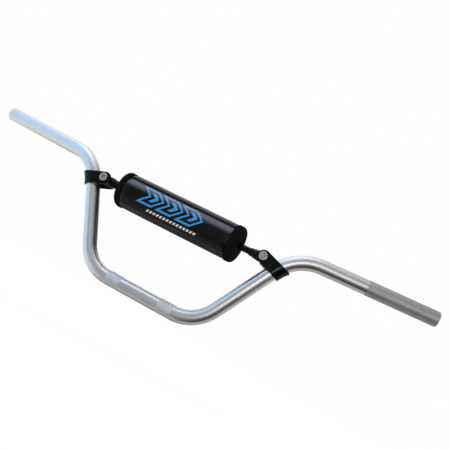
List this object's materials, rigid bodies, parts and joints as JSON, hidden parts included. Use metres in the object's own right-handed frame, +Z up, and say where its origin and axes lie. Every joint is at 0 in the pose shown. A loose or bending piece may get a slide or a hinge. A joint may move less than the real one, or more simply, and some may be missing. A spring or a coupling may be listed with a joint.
{
  "type": "motocross handlebar",
  "caption": "Bent aluminium motorbike handlebar with a crossbar clamped between its legs and a round foam pad wrapped in a glossy black cover.",
  "frame": {"origin": "centre of the straight middle section of the tube, where the bar clamp holds it", "axes": "+X along the middle section to the rider's left, +Y back to the rider, +Z up the plane of the legs"},
  "size_m": [0.7808, 0.0871, 0.1906],
  "materials": {
    "bar_aluminium": "satin",
    "black_coat": "gloss",
    "zinc_steel": "satin",
    "nylon": "matte",
    "foam": "matte",
    "cover_vinyl": "gloss",
    "closure_tape": "matte"
  },
  "bodies": {
    "root": {"handlebar_tube": "bar_aluminium", "left_clamp": "black_coat", "right_clamp": "black_coat", "left_clamp_bolt": "zinc_steel", "right_clamp_bolt": "zinc_steel", "left_clamp_washer": "zinc_steel", "right_clamp_washer": "zinc_steel", "left_lock_nut": "zinc_steel", "right_lock_nut": "zinc_steel", "left_lock_nut_ring": "nylon", "right_lock_nut_ring": "nylon", "left_crossbar_end": "black_coat", "right_crossbar_end": "black_coat", "crossbar_rod": "black_coat", "pad_foam": "foam", "pad_cover": "cover_vinyl", "cover_hook_tape": "closure_tape", "cover_loop_tape": "closure_tape"}
  },
  "joints": []
}
